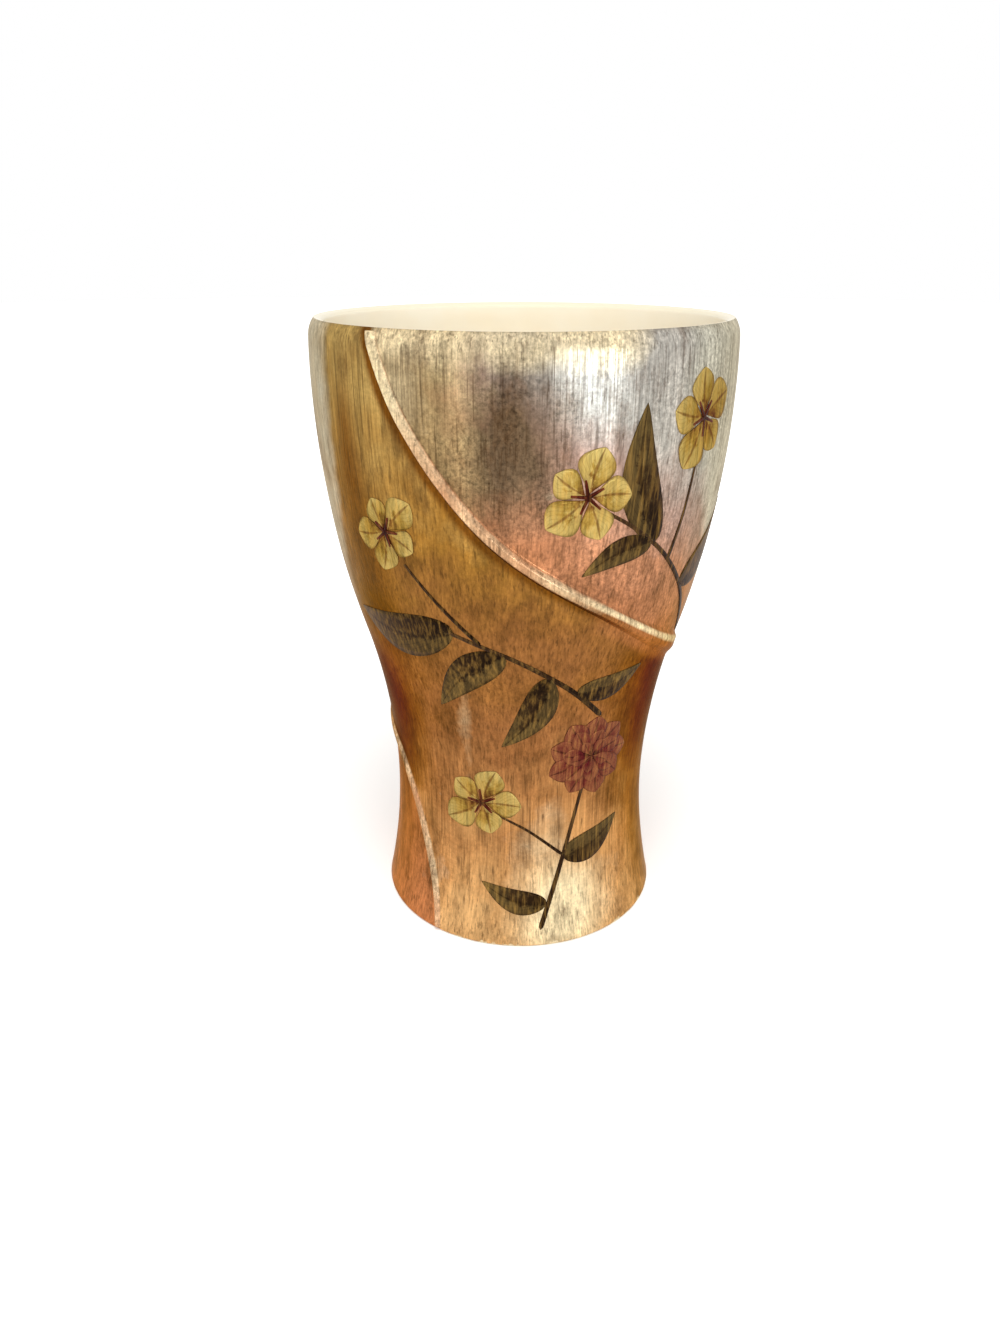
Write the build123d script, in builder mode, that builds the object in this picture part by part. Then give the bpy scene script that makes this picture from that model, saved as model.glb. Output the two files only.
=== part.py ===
from build123d import *

import os
from math import asin, cos, pi, radians, sin, sqrt, tan

# A bamboo vase: narrow bamboo staves, bent to one flowing outline, bevelled along their edges
# and glued into a ring, a round floor let into a groove near the foot, and a raised rib that
# winds once round the outside from the rim to the foot.
# The vase stands on z = 0, its axis is +Z and its front faces -Y.
# Turns are in degrees from the front, positive towards +X. All lengths are in millimetres.

# Outline of the outside wall: a hollow arc through the waist runs into a full arc at the belly
vase_height = 200.0
waist_radius = 43.8
waist_height = 44.0
waist_bend = 195.0
belly_radius = 65.3
belly_height = 186.0

# Staves: flat across, so that their number sets how round the ring is. Under the rim they turn in.
stave_count = 32
stave_thickness = 4.2
shoulder_height = 5.0
shoulder_turn_in = 1.6
rim_bevel = 1.0
foot_bevel = 1.4

# Floor and the groove that holds it
floor_height = 7.0
floor_thickness = 5.0
groove_depth = 1.4
floor_clearance = 0.1

# Raised rib: its route on the unrolled wall as (turn, share of the height), and its section
rib_route = [
    (-41, 1.04),
    (-29, 0.885),
    (-7, 0.73),
    (24, 0.62),
    (66, 0.515),
    (130, 0.44),
    (200, 0.39),
    (260, 0.35),
    (290, 0.3125),
    (304, 0.25),
    (314, 0.17),
    (322, 0.075),
    (326, -0.02),
]
rib_stations = 36
rib_crest_start = 1.5
rib_crest_end = 0.9
rib_upper_flank = 1.9
rib_lower_flank_ends = 1.8
rib_lower_flank_middle = 11.0
rib_seat = 1.2
rib_end_gap = 1.8

# What follows from these
waist_centre = waist_radius + waist_bend
centre_rise = belly_height - waist_height
belly_bend = ((waist_centre - belly_radius) ** 2 + centre_rise**2 - waist_bend**2) / (
    2 * (belly_radius - waist_radius)
)
belly_centre = belly_radius - belly_bend
turn_share = centre_rise / (waist_bend + belly_bend)
stave_angle = 360 / stave_count
stave_reach = belly_radius * tan(pi / stave_count) + stave_thickness
shoulder_foot = vase_height - shoulder_height
groove_height = floor_height + floor_thickness / 2


def turn_height(depth):
    """Height where the hollow arc runs into the full arc, at a depth below the outside."""
    return waist_height + (waist_bend + depth) * turn_share


def wall_radius(height, depth=0.0):
    """Radius of the wall at a height, at a depth below the outside."""
    if height <= turn_height(depth):
        return waist_centre - sqrt((waist_bend + depth) ** 2 - (height - waist_height) ** 2)
    return belly_centre + sqrt((belly_bend - depth) ** 2 - (height - belly_height) ** 2)


def wall_slope(height):
    """Angle, in radians, by which the wall leans out at a height."""
    if height <= turn_height(0):
        return asin((height - waist_height) / waist_bend)
    return asin((belly_height - height) / belly_bend)


def wall_point(height, depth):
    return (wall_radius(height, depth), height)


def wall_line(low, high, depth):
    """Draws the wall's two arcs between two heights, at a depth below the outside."""
    turn = turn_height(depth)
    ThreePointArc(
        wall_point(low, depth), wall_point((low + turn) / 2, depth), wall_point(turn, depth)
    )
    ThreePointArc(
        wall_point(turn, depth), wall_point((turn + high) / 2, depth), wall_point(high, depth)
    )


def outward(turn):
    """Level direction that points out of the vase at a turn."""
    return Vector(sin(radians(turn)), -cos(radians(turn)), 0)


def onward(turn):
    """Level direction of growing turns, at a turn."""
    return Vector(cos(radians(turn)), sin(radians(turn)), 0)


def meridian(turn):
    """Upright half plane at a turn: local x is the radius and local y the height."""
    return Plane(origin=(0, 0, 0), x_dir=outward(turn), z_dir=-onward(turn))


def on_wall(turn, height):
    """Point on the outside of the wall."""
    return outward(turn) * wall_radius(height) + Vector(0, 0, height)


def wall_normal(turn, height):
    """Direction square to the outside of the wall."""
    lean = wall_slope(height)
    return outward(turn) * cos(lean) - Vector(0, 0, sin(lean))


def save(part, name):
    part.label = name
    export_step(part, f"parts/{name}.step")


os.makedirs("parts", exist_ok=True)

# Staves: each is the wall's section drawn out sideways and cut to a wedge by its two joints
groove_radius = wall_radius(groove_height, stave_thickness) + groove_depth


def make_stave(turn):
    with BuildPart() as stave:
        with BuildSketch(meridian(turn).offset(-stave_reach)):
            with BuildLine():
                wall_line(foot_bevel, shoulder_foot, 0)
                TangentArc(
                    wall_point(shoulder_foot, 0),
                    wall_point(vase_height, shoulder_turn_in),
                    tangent=(wall_slope(shoulder_foot), 1),
                )
                Polyline(
                    wall_point(vase_height, shoulder_turn_in),
                    wall_point(vase_height, stave_thickness - rim_bevel),
                    wall_point(vase_height - rim_bevel, stave_thickness),
                )
                wall_line(0, vase_height - rim_bevel, stave_thickness)
                Polyline(
                    wall_point(0, stave_thickness),
                    wall_point(0, foot_bevel),
                    wall_point(foot_bevel, 0),
                )
            make_face()
            with Locations((groove_radius, floor_height)):
                Rectangle(
                    stave_thickness,
                    floor_thickness,
                    align=(Align.MAX, Align.MIN),
                    mode=Mode.SUBTRACT,
                )
        extrude(amount=2 * stave_reach)
        split(bisect_by=meridian(turn - stave_angle / 2), keep=Keep.BOTTOM)
        split(bisect_by=meridian(turn + stave_angle / 2), keep=Keep.TOP)
    return stave.part


staves = [make_stave(number * stave_angle) for number in range(stave_count)]
for number, stave in enumerate(staves):
    save(stave, f"stave_{number + 1:02d}")

# Floor: a round board whose edge stands in the groove
with BuildPart() as floor:
    with BuildSketch(Plane.XY.offset(floor_height)):
        Circle(groove_radius - floor_clearance)
    extrude(amount=floor_thickness)
save(floor.part, "floor_disc")

# Raised rib: a strip with sections square to its route, a narrow bead at both ends and a broad
# roll along the level run round the back, whose seat is cut to the flat of each stave it crosses
rib_line = Spline(*[(turn, share * vase_height) for turn, share in rib_route])


def rib_section(share):
    """One section of the rib, at a share of the route."""
    step = 0.5 / rib_stations
    here, ahead, behind = (
        rib_line.position_at(min(max(share + shift, 0), 1)) for shift in (0, step, -step)
    )
    travel = on_wall(ahead.X, ahead.Y) - on_wall(behind.X, behind.Y)
    normal = wall_normal(here.X, here.Y)
    widening = (rib_lower_flank_middle - rib_lower_flank_ends) * sin(pi * share) ** 3
    lower_flank = rib_lower_flank_ends + widening
    crest = rib_crest_start + (rib_crest_end - rib_crest_start) * share
    plane = Plane(origin=on_wall(here.X, here.Y), x_dir=normal.cross(travel), z_dir=travel)
    with BuildSketch(plane) as section:
        with BuildLine():
            Polyline(
                (rib_upper_flank, -rib_seat),
                (0.5 * rib_upper_flank, 0.7 * crest),
                (-0.15 * lower_flank, 0.95 * crest),
                (-0.6 * lower_flank, crest),
                (-lower_flank, -rib_seat),
                close=True,
            )
        make_face()
    return section.sketch


with BuildPart() as rib:
    loft([rib_section(number / rib_stations) for number in range(rib_stations + 1)])
    split(bisect_by=Plane.XY.offset(vase_height - rib_end_gap), keep=Keep.BOTTOM)
    split(bisect_by=Plane.XY.offset(foot_bevel), keep=Keep.TOP)
    add(staves, mode=Mode.SUBTRACT)
save(rib.part, "spiral_rib")
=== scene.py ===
import math

import bmesh
import bpy
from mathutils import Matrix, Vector, noise


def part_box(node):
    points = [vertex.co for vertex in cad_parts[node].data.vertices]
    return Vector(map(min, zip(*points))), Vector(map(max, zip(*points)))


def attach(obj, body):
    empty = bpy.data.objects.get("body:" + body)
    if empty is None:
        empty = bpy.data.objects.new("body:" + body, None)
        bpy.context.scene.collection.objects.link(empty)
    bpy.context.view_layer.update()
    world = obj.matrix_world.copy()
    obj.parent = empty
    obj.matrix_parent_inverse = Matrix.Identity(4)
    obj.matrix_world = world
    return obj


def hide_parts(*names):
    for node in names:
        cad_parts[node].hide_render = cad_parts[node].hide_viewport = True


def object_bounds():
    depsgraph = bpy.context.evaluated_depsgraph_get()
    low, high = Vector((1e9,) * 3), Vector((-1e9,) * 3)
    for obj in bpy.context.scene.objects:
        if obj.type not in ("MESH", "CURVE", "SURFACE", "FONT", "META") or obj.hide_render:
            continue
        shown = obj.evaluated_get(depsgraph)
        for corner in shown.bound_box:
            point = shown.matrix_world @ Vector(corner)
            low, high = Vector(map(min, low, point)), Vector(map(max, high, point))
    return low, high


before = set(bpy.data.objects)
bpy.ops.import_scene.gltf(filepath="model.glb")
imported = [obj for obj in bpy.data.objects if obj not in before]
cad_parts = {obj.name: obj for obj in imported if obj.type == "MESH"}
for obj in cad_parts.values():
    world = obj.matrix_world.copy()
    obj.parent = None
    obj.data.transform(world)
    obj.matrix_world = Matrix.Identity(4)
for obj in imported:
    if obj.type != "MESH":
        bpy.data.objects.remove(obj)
cad_low, cad_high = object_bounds()

bl_info = {
    "name": "Bamboo vase",
    "version": (1, 0, 0),
    "blender": (4, 2, 0),
    "location": "View3D > Sidebar > Vase",
    "description": "Gilded bamboo vase with a raised rib and pasted paper flowers",
    "category": "Object",
}

# Route of the raised rib on the unrolled wall: turn in degrees from the front, share of the height
RIB_ROUTE = [
    (-41, 1.04),
    (-29, 0.885),
    (-7, 0.73),
    (24, 0.62),
    (66, 0.515),
    (130, 0.44),
    (200, 0.39),
    (260, 0.35),
    (290, 0.3125),
    (304, 0.25),
    (314, 0.17),
    (322, 0.075),
    (326, -0.02),
]
RIB_START, RIB_END = RIB_ROUTE[0][0], RIB_ROUTE[-1][0]

# Halvings of the route by which its height at a turn is found
HALVINGS = 30

# One degree round the belly, as a share of the height
DEGREE_SHARE = 0.0055

# Rib's mesh: parts along and across, and the share of the route over which its direction is taken
RIB_PARTS = (420, 22)
RIB_STEP = 0.004

# How deep the rib's edges and its underside lie in the wall, and how far below the rim it ends
RIB_SINK = 0.00004
RIB_ROOT = 0.0006
RIB_GAP = 0.0008

# Rib's height: the share of it that is lost along the route, and the share that stands over its line
RIB_FALL = 0.4
RIB_MIDDLE = 0.92

# Share of the height over which the leaf turns from copper at the rib to silver
SILVER_REACH = 0.34

# Wall's mesh: steps round the foot's edge, up the outside, over the lip, down the inside, all round
FOOT_STEPS = 6
OUTSIDE_STEPS = 160
LIP_STEPS = 7
INSIDE_STEPS = 48
ROUND_STEPS = 288

# Shares of the wall's thickness: less deep is outside, deeper is inside
OUTSIDE_DEPTH = 0.25
INSIDE_DEPTH = 0.6

# Where the lacquer starts on the lip, inwards from the outside, and how thick it is on the floor
LIP_EDGE = 0.0003
LACQUER = 0.0003

# How close points are welded, how close they count as in a cut, how low a face counts as the foot's
WELD = 1e-6
CUT = 1e-7
UNDER_FOOT = 1e-5

# Unevenness of the wall: its waves round and up, and the height over which it fades at both ends
WAVE_ROUND = 2.2
WAVE_RISE = 0.03
WAVE_FADE = 0.01

# Stems of the paper sprays and the stalks that leave them, in the same terms, widths in millimetres
STEMS = [
    ([(69, 0.523), (57, 0.61), (43, 0.685), (31, 0.735), (22, 0.765)], 1.9),
    ([(44, 0.68), (47, 0.745), (49, 0.82)], 1.3),
    ([(32, 0.42), (16, 0.485), (-2, 0.54), (-22, 0.58)], 2.0),
    ([(-12, 0.563), (-24, 0.625), (-33, 0.68)], 1.2),
    ([(9, 0.03), (17, 0.13), (24, 0.23), (28, 0.3)], 1.8),
    ([(19, 0.165), (4, 0.215), (-10, 0.245)], 1.1),
]

# Leaves: base, tip and width in millimetres
LEAVES = [
    ((54, 0.625), (79, 0.735), 12),
    ((37, 0.712), (30, 0.91), 13),
    ((36, 0.715), (16, 0.675), 8),
    ((-20, 0.578), (-62, 0.575), 15),
    ((-5, 0.548), (-30, 0.44), 12),
    ((10, 0.505), (-7, 0.375), 11),
    ((20, 0.472), (46, 0.5), 9),
    ((12, 0.075), (-16, 0.115), 9),
    ((19, 0.16), (48, 0.21), 11),
]

# Five-petalled blossoms: centre and radius in millimetres
BLOSSOMS = [
    ((16, 0.79), 13),
    ((50, 0.88), 14),
    ((-38, 0.725), 12),
    ((-16, 0.265), 13),
]

# The one full rosette: the same, and its rings as (petals, share of the radius)
ROSETTE = ((30, 0.345), 15)
ROSETTE_RINGS = ((9, 1.0), (7, 0.72), (5, 0.46))

# Thin paper: how much higher each next petal and each next ring of petals lies, and the stamens' size
PETAL_STEP = 0.00002
RING_STEP = 0.00008
RING_PETAL_STEP = 0.00001
STAMEN_WIDTH = 0.0011
STAMEN_LIFT = 0.00018
MILLIMETRE = 0.001

# Paper leaves, petals and the rosette's petals: where each is widest, how far it bows and how wide a
# petal is, as shares of the length, and how full their outlines are
LEAF_BELLY, LEAF_BOW = 0.36, 0.09
PETAL_BELLY, PETAL_BOW, PETAL_WIDTH = 0.6, 0.04, 0.78
RING_BELLY, RING_BOW, RING_WIDTH = 0.66, 0.03, 0.62
FULLNESS = 0.85

# Blossoms: petals, the turn in degrees from one blossom to the next, and the stamens' turn in radians
# from the petals and their way out, as shares of the radius
PETALS = 5
BLOSSOM_TURN = 23
STAMEN_TURN = 0.5
STAMEN_WAY = (0.0, 0.2, 0.38)

# Mesh of paper leaves and stems: parts along and across, and shares of a stem over which its direction
# is taken and its foot is rounded
LEAF_PARTS = (28, 8)
STEM_PARTS = (40, 2)
STEM_STEP = 0.01
STEM_ROUND = 0.04

# Printed papers: dark, body and light ink, how far the gold shows through, how much lighter one half is
# and how metallic the sheen is
STEM_PRINT = (("1E120A", "2E1C10", "4A3320"), 0.3, 0.3, 0.3)
LEAF_PRINT = (("1E120A", "362516", "66522F"), 0.4, 0.55, 0.4)
PETAL_PRINT = (("5E3418", "A08038", "C8AE68"), 0.6, 0.5, 0.7)
STAMEN_PRINT = (("30100C", "4A1812", "6A2A1E"), 0.2, 0.3, 0.3)
ROSETTE_PRINT = (("340A0E", "661C20", "8E5238"), 0.4, 0.5, 0.4)

WHITE = (1.0, 1.0, 1.0)


def colour(code):
    """Linear colour of an sRGB hex code."""
    channels = [int(code[place : place + 2], 16) / 255 for place in (0, 2, 4)]
    linear = [c / 12.92 if c <= 0.04045 else ((c + 0.055) / 1.055) ** 2.4 for c in channels]
    return (*linear, 1.0)


def length(name, description, size):
    """A length in metres, for the panel."""
    return bpy.props.FloatProperty(name=name, description=description, default=size, unit="LENGTH")


def swatch(name, description, code):
    """A colour, given by its sRGB hex code, for the panel."""
    return bpy.props.FloatVectorProperty(
        name=name, description=description, subtype="COLOR", size=4, default=colour(code)
    )


class VaseShape(bpy.types.PropertyGroup):
    """Sizes of the vase."""

    height: length("Height", "From the foot to the rim", cad_high.z)
    waist_radius: length("Waist radius", "Outside, at the narrowest", 0.0438)
    waist_height: length("Waist height", "Of the narrowest place", 0.044)
    waist_bend: length("Waist bend", "Radius of the hollow arc", 0.195)
    belly_radius: length("Belly radius", "Outside, at the widest", 0.0653)
    belly_height: length("Belly height", "Of the widest place", 0.186)
    wall: length("Wall", "Thickness of the wall", 0.0042)
    shoulder: length("Shoulder", "Height of the turned-in rim", 0.005)
    turn_in: length("Turn-in", "How far the rim turns in", 0.0016)
    lip_drop: length("Lip drop", "Height of the lip's inner round", 0.0018)
    foot_round: length("Foot round", "Radius of the foot's edge", 0.0014)
    wave: length("Wave", "How uneven the hand-worked wall is", 0.00018)
    rib_crest: length("Rib crest", "How far the rib stands out", 0.0015)
    rib_bead: length("Rib bead", "Half width at the ends", 0.0022)
    rib_roll: length("Rib roll", "Lower flank at the back", 0.0094)
    paper: length("Paper", "Thickness of the varnished paper", 0.00016)


class VaseFinish(bpy.types.PropertyGroup):
    """Colours of the vase."""

    silver: swatch("Silver", "Leaf under the rim", "B6B0A6")
    copper: swatch("Copper", "Leaf below the rib", "BE7A4C")
    gold: swatch("Gold", "Leaf at the foot", "CA965E")
    ivory: swatch("Ivory", "Lacquer inside", "FFF8E6")
    bamboo: swatch("Bamboo", "Bare bamboo", "C79F63")


class Outline:
    """Outside of the wall: a hollow arc through the waist, a full arc at the belly, a turned-in rim."""

    def __init__(self, shape):
        self.height = shape.height
        self.wave = shape.wave
        self.shoulder_foot = shape.height - shape.shoulder
        self.shoulder_bend = (shape.shoulder**2 + shape.turn_in**2) / (2 * shape.turn_in)
        self.waist_height = shape.waist_height
        self.waist_bend = shape.waist_bend
        self.belly_height = shape.belly_height
        self.waist_centre = shape.waist_radius + shape.waist_bend
        rise = shape.belly_height - shape.waist_height
        span = self.waist_centre - shape.belly_radius
        growth = shape.belly_radius - shape.waist_radius
        self.belly_bend = (span**2 + rise**2 - shape.waist_bend**2) / (2 * growth)
        self.belly_centre = shape.belly_radius - self.belly_bend
        self.turn_share = rise / (self.waist_bend + self.belly_bend)

    def radius(self, height, depth=0.0):
        """Radius of the two arcs at a height, at a depth below the outside."""
        bend = self.waist_bend + depth
        if height <= self.waist_height + bend * self.turn_share:
            return self.waist_centre - math.sqrt(bend**2 - (height - self.waist_height) ** 2)
        return self.belly_centre + math.sqrt(
            (self.belly_bend - depth) ** 2 - (height - self.belly_height) ** 2
        )

    def outside(self, height):
        """Radius of the outside at a height, turned in over the shoulder."""
        rise = min(max(height, self.shoulder_foot), self.height) - self.shoulder_foot
        drop = self.shoulder_bend - math.sqrt(self.shoulder_bend**2 - rise**2)
        return self.radius(height) - drop

    def lean(self, height):
        """Angle by which the wall leans out at a height."""
        if height <= self.waist_height + self.waist_bend * self.turn_share:
            return math.asin((height - self.waist_height) / self.waist_bend)
        return math.asin((self.belly_height - height) / self.belly_bend)

    def unevenness(self, turn, height):
        """How far hand work left the wall high or low, fading out at the rim and the foot."""
        place = Vector((math.sin(turn) * WAVE_ROUND, math.cos(turn) * WAVE_ROUND, height / WAVE_RISE))
        ends = min(1.0, height / WAVE_FADE, (self.height - height) / WAVE_FADE)
        return self.wave * max(ends, 0.0) * noise.noise(place)

    def point(self, turn, height, lift=0.0):
        """Point over the outside, at a turn in radians from the front."""
        lean = self.lean(height)
        lift = lift + self.unevenness(turn, height)
        radius = self.outside(height) + lift * math.cos(lean)
        return Vector(
            (radius * math.sin(turn), -radius * math.cos(turn), height - lift * math.sin(lean))
        )

    def flat(self, spot):
        """A (turn in degrees, share of the height) as a flat place in metres, as if unrolled."""
        turn, share = spot
        height = share * self.height
        return Vector((math.radians(turn) * self.radius(height), height))

    def rolled(self, here, shift=Vector((0.0, 0.0))):
        """A flat place, shifted by a little, as (turn in radians, height)."""
        height = min(max(here.y, 0.0), self.height)
        return (here.x + shift.x) / self.radius(height), here.y + shift.y


def smooth_step(low, high, value):
    """0 below low, 1 above high, and a smooth rise between them."""
    share = min(max((value - low) / (high - low), 0.0), 1.0)
    return share * share * (3 - 2 * share)


def through(points, share):
    """Place on a smooth line through points, at a share of its way."""
    spot = min(max(share, 0.0), 1.0) * (len(points) - 1)
    number = min(int(spot), len(points) - 2)
    rest = spot - number
    before, here, there, after = (
        Vector(points[min(max(number + shift, 0), len(points) - 1)]) for shift in (-1, 0, 1, 2)
    )
    leave = (there - before) / 2
    arrive = (after - here) / 2
    return (
        here * (1 + 2 * rest) * (1 - rest) ** 2
        + leave * rest * (1 - rest) ** 2
        + there * rest**2 * (3 - 2 * rest)
        - arrive * rest**2 * (1 - rest)
    )


def rib_height(turn):
    """Share of the height at which the rib passes a turn in degrees, counted on from its start."""
    low, high = 0.0, 1.0
    for _ in range(HALVINGS):
        middle = (low + high) / 2
        if through(RIB_ROUTE, middle).x < turn:
            low = middle
        else:
            high = middle
    return through(RIB_ROUTE, low).y


RIB_HEIGHTS = {turn: rib_height(turn) for turn in range(RIB_START, RIB_END + 1)}


def rib_share(turn):
    """The same from the table of whole degrees."""
    whole = min(max(math.floor(turn), RIB_START), RIB_END - 1)
    rest = turn - whole
    return RIB_HEIGHTS[whole] * (1 - rest) + RIB_HEIGHTS[whole + 1] * rest


def leaf_zones(turn, share):
    """Shares of silver and of copper leaf at a place, and how far it lies above the rib, 0 to 1."""
    for way in (turn, turn + 360):
        if RIB_START <= way <= RIB_END and share > rib_share(way):
            above = share - rib_share(way)
            return 1 - smooth_step(110, 215, way), 0.0, min(above / SILVER_REACH, 1.0)
    if turn < RIB_END - 360:
        return 0.0, 1.0, 0.0
    beside_rib = smooth_step(0.05, 0.03, rib_share(turn) - share) * smooth_step(14, 44, turn)
    return 0.0, max(smooth_step(75, 130, turn), 0.85 * beside_rib), 0.0


def round_field(turn, share, middle, reach):
    """1 at a middle, falling off softly to a reach round it, both as (turn, share of the height)."""
    across = (turn - middle[0]) / reach[0]
    upward = (share - middle[1]) / reach[1]
    return math.exp(-(across**2) - upward**2)


def leaf_marks_and_light(turn, share):
    """Shares of champagne, khaki, brown and pale leaf at a place: the khaki is painted sheen, the brown
    painted shade and shadow, the pale painted highlight.
    """
    upper, _, above = leaf_zones(turn, share)
    left = smooth_step(0.4, 0.6, share) * (1 - upper)
    champagne = smooth_step(0, -26, turn) * smooth_step(-90, -50, turn)
    back_fade = smooth_step(175, 115, turn)

    # Painted sheen in pale khaki down both sides, on the right narrower towards the rib
    right_start = 76 - 40 * above
    right_sheen = smooth_step(right_start, right_start + 18, turn) * upper * back_fade
    left_start = -52.5 - 10 * smooth_step(0.78, 0.56, share)
    left_sheen = smooth_step(left_start, left_start - 9, turn) * smooth_step(-150, -75, turn)
    khaki_sheen = max(right_sheen, 0.62 * left_sheen * left * smooth_step(0.44, 0.8, share))

    # Painted shade in brown at the waist, deepest to the right, in a band beside the khaki sheen on the
    # left and to the right of the foot, and a painted shadow close under the rib, by the distance
    # square to it
    right_shade = smooth_step(15, 65, turn) * smooth_step(0.1, 0.42, share) * back_fade
    band_reach = 4.5 + 9 * smooth_step(0.9, 0.65, share)
    left_shade_band = math.exp(-(((turn + 50) / band_reach) ** 2)) * left * smooth_step(0.98, 0.86, share)
    waist_shade = smooth_step(-28, -60, turn) * round_field(turn, share, (-75, 0.38), (60, 0.13))
    foot_shade = 0.45 * smooth_step(48, 72, turn)
    fall = (rib_share(turn - 1) - rib_share(turn + 1)) / (2 * DEGREE_SHARE)
    gap = (rib_share(turn) - share) / math.hypot(1, fall)
    rib_shadow = smooth_step(0.03, 0.014, gap) * smooth_step(60, 15, turn)
    brown = max(right_shade, 0.8 * left_shade_band, waist_shade, foot_shade, rib_shadow)

    # Painted highlights in pale leaf at the foot, on the front, along one stave, above the rib's start
    # and under the rim
    foot_highlight = round_field(turn, share, (19, 0.06), (20, 0.11))
    front_highlight = 0.36 * round_field(turn, share, (14, 0.19), (16, 0.11))
    ridge_highlight = 0.28 * round_field(turn, share, (-21, 0.4), (3.6, 0.14))
    rib_highlight = 0.5 * round_field(turn, share, (-30, 0.93), (10, 0.07)) * upper
    rim_highlight = 0.7 * smooth_step(0.93, 0.985, share) * smooth_step(-46, -36, turn)
    rim_highlight *= smooth_step(38, 18, turn) * upper
    return champagne, khaki_sheen, brown, max(foot_highlight, front_highlight, ridge_highlight, rib_highlight, rim_highlight)


def paint_zones(mesh):
    """Stores the leaf's zones and marks on a mesh of the outside, for the gilding to read; the zones'
    alpha is a painted dark reflection, the marks hold painted sheen, shade and highlights.
    """
    height = bpy.context.scene.vase_shape.height
    zones = mesh.attributes.new("zones", "FLOAT_COLOR", "POINT")
    marks_and_light = mesh.attributes.new("marks_and_light", "FLOAT_COLOR", "POINT")
    for number, vertex in enumerate(mesh.vertices):
        turn = math.degrees(math.atan2(vertex.co.x, -vertex.co.y))
        share = vertex.co.z / height
        # A painted dark reflection: a taupe patch on the silver left of the front, kept in the zones'
        # alpha
        dark_reflection = round_field(turn, share, (-4, 0.855), (17, 0.115))
        zones.data[number].color = (*leaf_zones(turn, share), dark_reflection)
        marks_and_light.data[number].color = leaf_marks_and_light(turn, share)


def finished(mesh, name, materials):
    """Makes an object of a bmesh, at the origin, riding on the vase."""
    bmesh.ops.remove_doubles(mesh, verts=mesh.verts, dist=WELD)
    bmesh.ops.recalc_face_normals(mesh, faces=mesh.faces)
    data = bpy.data.meshes.new(name)
    mesh.to_mesh(data)
    mesh.free()
    for polygon in data.polygons:
        polygon.use_smooth = True
    for material in materials:
        data.materials.append(material)
    piece = bpy.data.objects.new(name, data)
    bpy.context.scene.collection.objects.link(piece)
    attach(piece, "root")
    return piece


def fill(tree, node, inputs):
    """Gives a node's inputs their values or links."""
    for name, value in inputs.items():
        if isinstance(value, bpy.types.NodeSocket):
            tree.links.new(value, node.inputs[name])
        else:
            node.inputs[name].default_value = value


def add(tree, kind, inputs=None, stops=None, **settings):
    """Adds a shader node with settings, values or links and a ramp's stops, and gives its outputs."""
    node = tree.nodes.new("ShaderNode" + kind)
    for name, value in settings.items():
        setattr(node, name, value)
    fill(tree, node, inputs or {})
    if stops:
        ramp = node.color_ramp
        while len(ramp.elements) < len(stops):
            ramp.elements.new(1.0)
        for element, (place, shade) in zip(ramp.elements, stops):
            element.position = place
            element.color = shade if len(shade) == 4 else colour(shade)
    return node.outputs


def new_material(name):
    """An empty material with its shader, and the tree to build in."""
    material = bpy.data.materials.new(name)
    material.use_nodes = True
    tree = material.node_tree
    return material, tree, tree.nodes["Principled BSDF"]


def bamboo_grain(tree, across, along):
    """Upright fibre pattern: noise that is long up the vase, sized in metres."""
    place = add(tree, "TexCoord")["Object"]
    sizes = (1 / across, 1 / across, 1 / along)
    drawn = add(tree, "Mapping", {"Vector": place, "Scale": sizes})["Vector"]
    fibres = {"Vector": drawn, "Scale": 1.0, "Detail": 3.0, "Roughness": 0.6}
    return add(tree, "TexNoise", fibres)["Fac"]


def leaf_edge(tree, field, wander, under, over):
    """Lays one tone of leaf over another, with a wandering edge where its field is half."""
    loose = add(tree, "Math", {0: field, 1: wander}, operation="ADD")[0]
    share = add(tree, "MapRange", {0: loose, 1: 0.15, 2: 0.85})[0]
    return add(tree, "Mix", {0: share, 6: under, 7: over}, data_type="RGBA")[2]


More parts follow.
